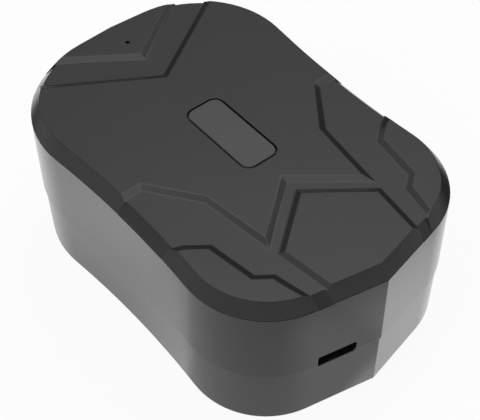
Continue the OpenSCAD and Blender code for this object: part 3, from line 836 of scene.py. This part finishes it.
@dataclass
class ChargePort(Assembly):
    """The receptacle with its tongue and contacts.

    Attributes:
        place: The middle of its mouth.
        turn: The turn of the facet that it stands in, in degrees.
        tongue: The tongue's corners from that middle.
        strip: The corners of the middle contact.
        contacts: How many contacts the tongue has.
        pitch: The distance between them.
    """

    # The port wears the steel that is painted dark as shade for its slot
    mouldings: Mouldings = (Moulding("charge_port", "port_steel", SHADE_DARKENED_PORT_STEEL, 0.00005),)
    place: Point = (-9.310, -41.676, 15.9)
    turn: float = -12.1
    tongue: tuple[Point, Point] = ((-2.1, 0.45, -0.05), (2.1, 4.6, 0.73))
    strip: tuple[Point, Point] = ((-0.17, 0.75, -0.11), (0.17, 4.2, -0.04))
    contacts: int = 5
    pitch: float = 0.65

    def add_pieces(self) -> None:
        """Models the tongue and its contacts."""
        mouth = moved(*self.place, self.turn)
        tongue = bar("port_tongue", *self.tongue, edge=0.08)
        stepped(tongue, (0, -1, 0), margin=0.12, rise=0.1)
        tongue.matrix_world = mouth
        settled(tongue, PART_PLASTIC)
        strip = bar("strip", *self.strip, edge=0.02, sides=1)
        places = [mouth @ moved(x, 0) for x in spaced(self.contacts, self.pitch)]
        settled(repeated(strip, "port_contacts", places), GOLD)


@dataclass
class BoardPart:
    """What stands on the main board.

    Attributes:
        name: The name of the piece, or of what the copies make.
        size: Its width, length and height.
    """

    name: str
    size: Point

    @property
    def board_top(self) -> float:
        """The height of the board's face."""
        return box_mm("main_board")[1][2]

    def build(self) -> None:
        """Models the part."""
        raise NotImplementedError


@dataclass
class Chip(BoardPart):
    """A chip in its black package, with legs on its sides.

    Attributes:
        place: Its middle on the board.
        legs: How many legs each of those sides has.
        pitch: The distance between the legs.
        sides: The turns of the sides with legs, in degrees.
    """

    place: Pair
    legs: int
    pitch: float
    sides: tuple[float, ...] = (0, 180)

    def build(self) -> None:
        """Models the package and its legs."""
        x, y, high = self.size[0] / 2, self.size[1] / 2, self.size[2]
        lift, root = 0.1, 0.05
        package = bar(self.name, (-x, -y, lift), (x, y, high), edge=0.12, sides=1)
        stepped(package, UP, margin=0.25, rise=0.03)
        package.matrix_world = moved(*self.place, self.board_top)
        settled(package, PART_PLASTIC)
        leg = bar("leg", (0.35, -0.14, 0), (0.85, 0.14, 0.14), edge=0.03, sides=1)
        shin, shoulder = (-0.12, high * 0.4), (-0.35, 0.02)
        with opened(leg, (-1, 0, 0)):
            for inward, rise in (shin, shoulder):
                step = [inward * MM, 0, rise * MM]
                bpy.ops.mesh.extrude_region_move(TRANSFORM_OT_translate={"value": step})
        row = [moved(x - root, along) for along in spaced(self.legs, self.pitch)]
        turns = [moved(*self.place, self.board_top, turn) for turn in self.sides]
        places = [turn @ place for turn in turns for place in row]
        settled(repeated(leg, self.name + "_legs", places), TIN)


@dataclass
class Passive(BoardPart):
    """A kind of small two-ended part, many times on the board.

    Attributes:
        finish: The finish of a body.
        slot: The slot of that finish; not used.
        places: The middle of each and its turn in degrees.
    """

    finish: Finish
    slot: str
    places: tuple[Point, ...]

    def build(self) -> None:
        """Models one body and one metal end, and copies them to their places."""
        x, y, high = self.size[0] / 2, self.size[1] / 2, self.size[2]
        long, wide, lift = x * 0.7, y * 0.92, 0.03
        body = bar("body", (-long, -wide, lift), (long, wide, high), edge=0.04)
        places = [moved(*place[:2], self.board_top, place[2]) for place in self.places]
        settled(repeated(body, self.name, places), self.finish)
        start, top = x * 0.6, high * 1.03
        end = bar("end", (start, -y, 0), (x, y, top), edge=0.06)
        ends = [place @ moved(0, 0, 0, turn) for place in places for turn in (0, 180)]
        settled(repeated(end, self.name + "_ends", ends), TIN)


@dataclass
class Block(BoardPart):
    """A part in a plain case with a stepped top.

    Attributes:
        place: Its middle on the board.
        finish: Its finish.
        slot: The slot of that finish; not used.
        edge: The width of its easing.
        rise: The rise of the step in its top.
        margin: The width round that step.
    """

    place: Pair
    finish: Finish
    slot: str
    edge: float
    rise: float
    margin: float

    def build(self) -> None:
        """Models the case."""
        (x, y), (wide, long, high) = self.place, self.size
        low = (x - wide / 2, y - long / 2, self.board_top)
        top = (x + wide / 2, y + long / 2, self.board_top + high)
        case = bar(self.name, low, top, self.edge, sides=3)
        stepped(case, UP, self.margin, self.rise)
        settled(case, self.finish)


@dataclass
class Electronics(Assembly):
    """The boards, modules, antennas and microphone.

    Attributes:
        parts: What stands on the main board.
        lids: The solids of the canned modules, each with how far its lid lies inside.
    """

    mouldings: Mouldings = (
        Moulding("cellular_module", "can_steel", TIN, 0.0001),
        Moulding("satellite_receiver", "can_steel", TIN, 0.0001),
        Moulding("satellite_antenna", "ceramic", CERAMIC, 0.0002),
    )
    plain: Plain = (
        ("main_board", BOARD),
        ("board_screws", ZINC),
        ("cellular_antenna", COPPER),
        ("antenna_sockets", GOLD),
        ("antenna_leads", LEAD_BLACK),
        ("microphone", TIN),
        ("microphone_boot", SEAL_RUBBER),
        ("microphone_leads", LEAD_BLACK),
    )
    parts: tuple[BoardPart, ...] = (
        Chip("processor_chip", (7.0, 7.0, 1.2), (0.0, -22.5), 9, 0.65, (0, 90, 180, 270)),
        Chip("charger_chip", (3.9, 4.9, 1.4), (-10.5, -26.5), 4, 1.2),
        Chip("motion_chip", (3.0, 3.0, 0.9), (10.8, -26.0), 3, 0.8),
        Chip("supply_chip", (2.9, 2.9, 1.1), (12.2, -8.0), 3, 0.95),
        Passive(
            "board_capacitors",
            (1.6, 0.8, 0.8),
            CAPACITOR,
            "ceramic",
            (
                (-6.5, -20.0, 90), (-6.5, -23.0, 90), (6.0, -25.0, 90), (-14.2, -24.0, 90),
                (-14.2, -27.0, 90), (-12.0, -21.5, 0), (11.0, -2.0, 0), (11.0, 0.4, 0),
                (-11.0, -3.0, 0), (-11.0, -5.4, 0), (7.5, 7.0, 90), (7.5, 10.0, 90),
                (-7.5, 12.0, 90), (-4.0, 17.4, 0), (4.0, 17.4, 0),
            ),
        ),
        Passive(
            "board_resistors",
            (1.6, 0.8, 0.5),
            PART_PLASTIC,
            "part_plastic",
            (
                (-3.0, -28.6, 0), (0.0, -28.6, 0), (3.0, -28.6, 0), (14.2, -24.0, 90),
                (14.2, -12.5, 90), (-12.6, -9.5, 90), (-10.6, -9.5, 90), (-14.0, 2.0, 90),
                (-14.0, 5.0, 90), (12.8, 5.0, 0), (12.8, 7.2, 0), (-7.5, 8.6, 90),
                (-11.5, -16.5, 0), (11.5, -16.5, 0),
            ),
        ),
        Block(
            "charger_coil", (4.0, 4.0, 1.9), (-7.6, -32.2), PART_PLASTIC, "part_plastic",
            edge=0.4, rise=-0.12, margin=0.35,
        ),
        Block("clock_crystal", (2.4, 3.2, 0.8), (8.0, -20.5), TIN, "can_steel", 0.2, 0.05, 0.2),
    )
    lids: tuple[tuple[str, float], ...] = (("cellular_module", 0.62), ("satellite_receiver", 0.34))

    def can_lid(self, name: str, margin: float) -> None:
        """Models the pressed lid of a metal can.

        Args:
            name: The name of the module's solid.
            margin: How far the lid lies inside the module's outline.
        """
        low, high = box_mm(name)
        below, above = 0.9, 0.06
        foot = (low[0] + margin, low[1] + margin, high[2] - below)
        top = (high[0] - margin, high[1] - margin, high[2] + above)
        piece = bar(name + "_lid", foot, top, edge=0.18, sides=3)
        stepped(piece, UP, margin=0.8, rise=0.08)
        settled(piece, TIN)

    def antenna_plugs(self) -> None:
        """Models the round plugs that hold the leads on their sockets."""
        low, high = box_mm("antenna_sockets")
        inset = 0.8
        plug = barrel("plug", (0, 0, -0.7), radius=1.25, length=0.85, edge=0.12)
        stepped(plug, UP, margin=0.4, rise=0.1)
        places = [
            moved(low[0] + inset, high[1] - inset, high[2]),
            moved(high[0] - inset, low[1] + inset, high[2]),
        ]
        settled(repeated(plug, "antenna_plugs", places), GOLD)

    def antenna_electrode(self) -> None:
        """Models the silvered electrode on the satellite antenna, with its feed."""
        low, high = box_mm("satellite_antenna")
        x, y = (low[0] + high[0]) / 2, (low[1] + high[1]) / 2
        half = (high[0] - low[0]) * 0.355
        foot, face = high[2] - 0.24, high[2] + 0.01
        corners = (x - half, y - half, foot), (x + half, y + half, face)
        settled(bar("antenna_electrode", *corners, edge=0.02, sides=1), TIN)
        place = (x + 1.4, y, face - 0.2)
        pin = barrel("antenna_feed_pin", place, radius=0.6, length=0.24, edge=0.06, sides=20)
        stepped(pin, UP, margin=0.2, rise=-0.05)
        settled(pin, ZINC)

    def add_pieces(self) -> None:
        """Models what stands on the main board and on its modules."""
        for part in self.parts:
            part.build()
        for name, margin in self.lids:
            self.can_lid(name, margin)
        self.antenna_plugs()
        self.antenna_electrode()


@dataclass
class PowerPack(Assembly):
    """The battery with its board, tape, connector and leads.

    Attributes:
        cells: The names of the cells' solids.
        fold: The thickness and half the height of a folded side seal.
        tab: Half the width, the thickness and half the height of a cell's tab.
        switch: Half the width, the depth and half the height of a switch.
        rib: Half the width of a connector rib, and its depth and root.
    """

    mouldings: Mouldings = (
        Moulding("protection_board", "board", BOARD, 0.00008),
        Moulding("battery_tape", "foam", FOAM, 0.00015),
        Moulding("battery_connector", "white_plastic", WHITE_PLASTIC, 0.00015),
    )
    plain: Plain = (("battery_leads", LEAD_RED),)
    cells: tuple[str, ...] = ("battery_cell_lower", "battery_cell_upper")
    fold: Pair = (0.3, 2.2)
    tab: Point = (1.5, 0.15, 0.9)
    switch: Point = (0.8, 0.9, 1.4)
    rib: Point = (0.25, 0.12, 0.1)

    def pouch(self, name: str) -> None:
        """Models a pouch cell with its crowned faces and folded side seals.

        Args:
            name: The name of the cell's solid.
        """
        low, high = box_mm(name)
        thick, half = self.fold
        inner, inset = thick * 0.8, 1.2
        corners = (low[0] + inner, low[1], low[2]), (high[0] - inner, high[1], high[2])
        cell = bar("pouch", *corners, edge=1.5, sides=4)
        stepped(cell, UP, margin=1.6, rise=-0.12)
        fold = bar("fold", (0, low[1] + inset, -half), (thick, high[1] - inset, half), edge=0.1)
        middle = (low[2] + high[2]) / 2
        places = [moved(x, 0, middle) for x in (low[0], high[0] - thick)]
        whole = joined([cell, repeated(fold, "folds", places)], name + "_pouch")
        settled(whole, FOIL)
        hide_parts(name)

    def board_parts(self) -> None:
        """Models the tabs that join the cells to their board, and its switches."""
        low, high = box_mm("protection_board")
        face, root = low[1], low[1] + 0.02
        x, deep, z = self.tab
        tab = bar("tab", (-x, face - deep, -z), (x, root, z), edge=0.04)
        levels = (low[2] + 1.2, high[2] - 1.2)
        places = [moved(across, 0, level) for across in (-8.0, 8.0) for level in levels]
        settled(repeated(tab, "cell_tabs", places), NICKEL)
        x, deep, z = self.switch
        switch = bar("switch", (-x, face - deep, -z), (x, root, z), edge=0.1)
        places = [moved(across, 0, (low[2] + high[2]) / 2) for across in (-4.5, -1.5)]
        settled(repeated(switch, "protection_switches", places), PART_PLASTIC)

    def connector_ribs(self) -> None:
        """Models the ribs of the battery's connector."""
        low, high = box_mm("battery_connector")
        half, deep, root = self.rib
        foot, top = low[2] + 0.2, high[2] - 0.3
        rib = bar("rib", (-half, low[1] - deep, foot), (half, low[1] + root, top), edge=0.05)
        places = [moved(low[0] + (high[0] - low[0]) * share, 0) for share in (0.2, 0.5, 0.8)]
        ribs = repeated(rib, "connector_ribs", places)
        settled(ribs, WHITE_PLASTIC)

    def add_pieces(self) -> None:
        """Models the cells, the tabs, the switches and the ribs."""
        for name in self.cells:
            self.pouch(name)
        self.board_parts()
        self.connector_ribs()


@dataclass
class Magnets(Assembly):
    """The holding magnets and the plate that keeps them."""

    mouldings: Mouldings = tuple(
        Moulding(f"magnet_{place}", "magnet_nickel", NICKEL, 0.0003)
        for place in ("centre", "near_left", "near_right", "far_left", "far_right")
    )
    plain: Plain = (("magnet_retainer", PART_PLASTIC),)


@dataclass(frozen=True)
class Lamp:
    """One soft lamp of the studio.

    Attributes:
        name: The lamp's name.
        place: Where it hangs.
        size: Its width and height.
        power: Its power, in watts.
    """

    name: str
    place: Point
    size: Pair = (0.35, 0.35)
    power: float = 1.6

    def hang(self) -> None:
        """Makes the lamp and points it at the tracker."""
        data = bpy.data.lights.new(self.name, "AREA")
        data.shape = "RECTANGLE"
        data.size, data.size_y = self.size
        data.energy = self.power
        lamp = bpy.data.objects.new(self.name, data)
        lamp.location = self.place
        lamp.rotation_euler = (-Vector(self.place)).to_track_quat("-Z", "Y").to_euler()
        lamp.visible_glossy = False
        bpy.context.scene.collection.objects.link(lamp)
        log.info("hung %s", self.name)


@dataclass(frozen=True)
class Patch:
    """A round or oval part of the floor with its own level of painted light.

    Attributes:
        middle: Its middle.
        reach: The distances from there between which it ends, in stretches.
        inside: The level in it.
        outside: The level round it.
        stretch: The lengths across and along that count as one.
    """

    middle: Pair
    reach: Pair
    inside: float
    outside: float = 1.0
    stretch: Pair = (1.0, 1.0)

    def laid(self, coat: Coating) -> Socket:
        """Lays the patch into the floor's material.

        Args:
            coat: The floor's material.

        Returns:
            The level at each point of the floor.
        """
        x, y = (1 / length for length in self.stretch)
        middle = (-self.middle[0] * x, -self.middle[1] * y, 0.0)
        feeds = {"Vector": coat.place, "Scale": (x, y, 0.0), "Location": middle}
        shifted = coat.add("ShaderNodeMapping", "Vector", feeds)
        away = coat.add("ShaderNodeVectorMath", "Value", {0: shifted}, operation="LENGTH")
        return coat.ranged(away, self.reach, (self.inside, self.outside))


@dataclass
class Studio:
    """A pale floor, soft lamps and an even surround.

    Attributes:
        floor_size: The side of the floor.
        floor_gap: How far it lies under the tracker.
        floor_colour: The floor's colour.
        page_share: How much of the white page the floor shows to the camera.
        gleam_share: How much of the page's gleam the floor shows in reflections.
        gleam: The gleaming ground round the tracker, painted light that shows only in reflections.
        near_painted_shadow: The near ground where the gleam is weaker.
        clearing: The part of that which keeps the whole gleam.
        painted_shadows_and_pools: Other parts of the ground, with the share of the gleam in each.
        far_gleam: The far ground, which brightens again.
        surround_axis: The way in which the surround brightens.
        surround: The brightness of the surround, by the cosine of the angle to that axis.
        dim_way: The direction in which the surround is dim below dim_top.
        dim_aside: The cosines of the angles to dim_way between which it turns dim.
        dim_top: The sines of the heights between which it brightens there.
        dim_share: How much of the surround's light is missing there.
        lamps: The lamps.
    """

    floor_size: float = 6.0
    floor_gap: float = 0.00005
    floor_colour: Colour = (0.86, 0.86, 0.86)
    page_share: float = 0.93
    gleam_share: float = 0.95
    # The gleam is painted light on the floor, which the tracker shows only in its reflections
    gleam: Patch = Patch((-0.015, 0.030), (0.92, 1.12), 0.83, 0.0, (0.105, 0.100))
    # A painted shadow: the near ground glows less in reflections, but for the clearing
    near_painted_shadow: Patch = Patch((-0.042, -0.040), (0.047, 0.057), 0.55)
    clearing: Patch = Patch((0.0535, 0.0381), (0.100, 0.104), 1.0, 0.0)
    # Painted shadows where the level is below 1 and painted pools of light where it is above 1
    painted_shadows_and_pools: tuple[Patch, ...] = (
        Patch((-0.026, 0.008), (0.0035, 0.017), 0.66, stretch=(1.0, 2.6)),
        Patch((-0.012, -0.064), (0.006, 0.018), 1.2),
        Patch((0.018, -0.052), (0.003, 0.016), 1.08),
        Patch((0.064, 0.012), (0.030, 0.048), 0.62),
    )
    # A painted pool of light: the far ground glows more in reflections
    far_gleam: Patch = Patch((0.0, 0.0), (0.18, 0.42), 0.0, 0.42)
    surround_axis: Point = (0.2, 0.15, 0.97)
    surround: tuple[Pair, ...] = (
        (0.0, 0.43), (0.08, 0.45), (0.2, 0.28), (0.4, 0.32), (0.6, 0.37), (0.8, 0.38),
        (0.83, 0.42), (0.86, 0.54), (0.89, 0.70), (0.94, 0.91), (1.0, 0.93),
    )
    dim_way: Point = (0.643, 0.766, 0.0)
    dim_aside: Pair = (0.64, 0.76)
    dim_top: Pair = (0.42, 0.58)
    dim_share: float = 0.77
    lamps: tuple[Lamp, ...] = (
        Lamp("left_lamp", (-0.50, 0.05, 0.55)),
        Lamp("right_lamp", (0.45, 0.25, 0.55)),
    )

    def ground_light(self, coat: Coating) -> Socket:
        """Lays the painted light and painted shadows of the ground, patch by patch.

        Args:
            coat: The floor's material.

        Returns:
            The brightness at each point of the floor.
        """
        # The painted shadow near the front, lifted back to the whole gleam in the clearing
        near = coat.combined("MAXIMUM", self.near_painted_shadow.laid(coat), self.clearing.laid(coat))
        lit = coat.combined("MULTIPLY", self.gleam.laid(coat), near)
        for patch in self.painted_shadows_and_pools:
            lit = coat.combined("MULTIPLY", lit, patch.laid(coat))
        return coat.combined("MAXIMUM", lit, self.far_gleam.laid(coat))

    def lay_floor(self) -> None:
        """Lays the floor, which shows as a white page to the camera and with painted light and
        shadow in reflections.
        """
        bpy.ops.object.select_all(action="DESELECT")
        bpy.ops.mesh.primitive_plane_add(size=self.floor_size, location=(0, 0, -self.floor_gap))
        floor = bpy.context.object
        floor.name = "studio_floor"
        coat = Coating("studio_floor_paper")
        fibres = coat.ranged(coat.noise(size=0.002, detail=3.0), CLOUD, FULL)
        paper = coat.mixed(fibres, self.floor_colour, shaded(self.floor_colour, 0.99))
        coat.set(Base_Color=paper, Roughness=0.95, Specular_IOR_Level=0.1)
        seen = coat.ray("Camera")
        strength = coat.combined("MAXIMUM", self.ground_light(coat), seen)
        page = coat.add("ShaderNodeEmission", 0, {"Strength": strength})
        gleam = coat.combined("MAXIMUM", coat.ray("Transmission"), coat.ray("Glossy"))
        share = coat.combined(
            "MAXIMUM",
            coat.ranged(seen, FULL, (0.0, self.page_share)),
            coat.ranged(gleam, FULL, (0.0, self.gleam_share)),
        )
        surface = coat.blended(share, coat.shader.outputs[0], page)
        coat.feed(coat.tree.nodes["Material Output"], {"Surface": surface})
        floor.data.materials.append(coat.material)

    def light_surround(self) -> None:
        """Sets a surround that brightens to one side, white where the camera sees it."""
        world = bpy.data.worlds.new("studio_surround")
        bpy.context.scene.world = world
        world.use_nodes = True
        sky = Nodes(world.node_tree)
        way = sky.add("ShaderNodeTexCoord", "Generated")
        ramp = sky.add("ShaderNodeValToRGB", "Color", {"Fac": sky.along(way, self.surround_axis)})
        stops = ramp.node.color_ramp.elements
        while len(stops) < len(self.surround):
            stops.new(0.5)
        for stop, (height, level) in zip(stops, self.surround):
            stop.position = height
            stop.color = (level, level, level, 1.0)
        toward, dim = sky.along(way, self.dim_way), (0.0, self.dim_share)
        aside = sky.ranged(toward, self.dim_aside, dim, "SMOOTHSTEP")
        low = sky.ranged(sky.along(way, UP), self.dim_top, (1.0, 0.0), "SMOOTHSTEP")
        left = sky.combined("SUBTRACT", 1.0, sky.combined("MULTIPLY", aside, low))
        glow = sky.tree.nodes["Background"]
        sky.feed(glow, {"Color": ramp, "Strength": left})
        page = sky.add("ShaderNodeBackground", 0, {"Color": (1, 1, 1, 1)})
        surface = sky.blended(sky.ray("Camera"), glow.outputs[0], page)
        sky.feed(sky.tree.nodes["World Output"], {"Surface": surface})

    def build(self) -> None:
        """Sets up the whole studio."""
        self.lay_floor()
        self.light_surround()
        for lamp in self.lamps:
            lamp.hang()


@dataclass
class Camera:
    """The camera at the photographed angle.

    Attributes:
        place: Where it stands.
        turn: Its rotation in degrees, about X, Y and Z.
        lens: Its focal length for a 36 mm wide picture, in millimetres.
    """

    place: Point = (-0.104372, -0.132409, 0.204689)
    turn: Point = (41.35515, 0.49448, -39.17489)
    lens: float = 89.21

    def build(self) -> None:
        """Makes the camera and gives it to the scene."""
        data = bpy.data.cameras.new("camera")
        data.lens = self.lens
        data.sensor_width = 36.0
        data.clip_start = 0.01
        data.clip_end = 20.0
        camera = bpy.data.objects.new("camera", data)
        camera.location = self.place
        camera.rotation_euler = Euler([math.radians(a) for a in self.turn], "XYZ")
        bpy.context.scene.collection.objects.link(camera)
        bpy.context.scene.camera = camera


def main() -> None:
    """Builds the tracker's looks, the studio and the camera in order."""
    logging.basicConfig(level=logging.INFO, format="%(name)s: %(message)s")
    bpy.context.scene.view_settings.view_transform = "Standard"
    for part in (Housing(), ServiceBay(), ChargePort(), Electronics(), PowerPack(), Magnets()):
        part.build()
        log.info("finished %s", type(part).__name__)
    Studio().build()
    Camera().build()


if __name__ == "__main__":
    main()
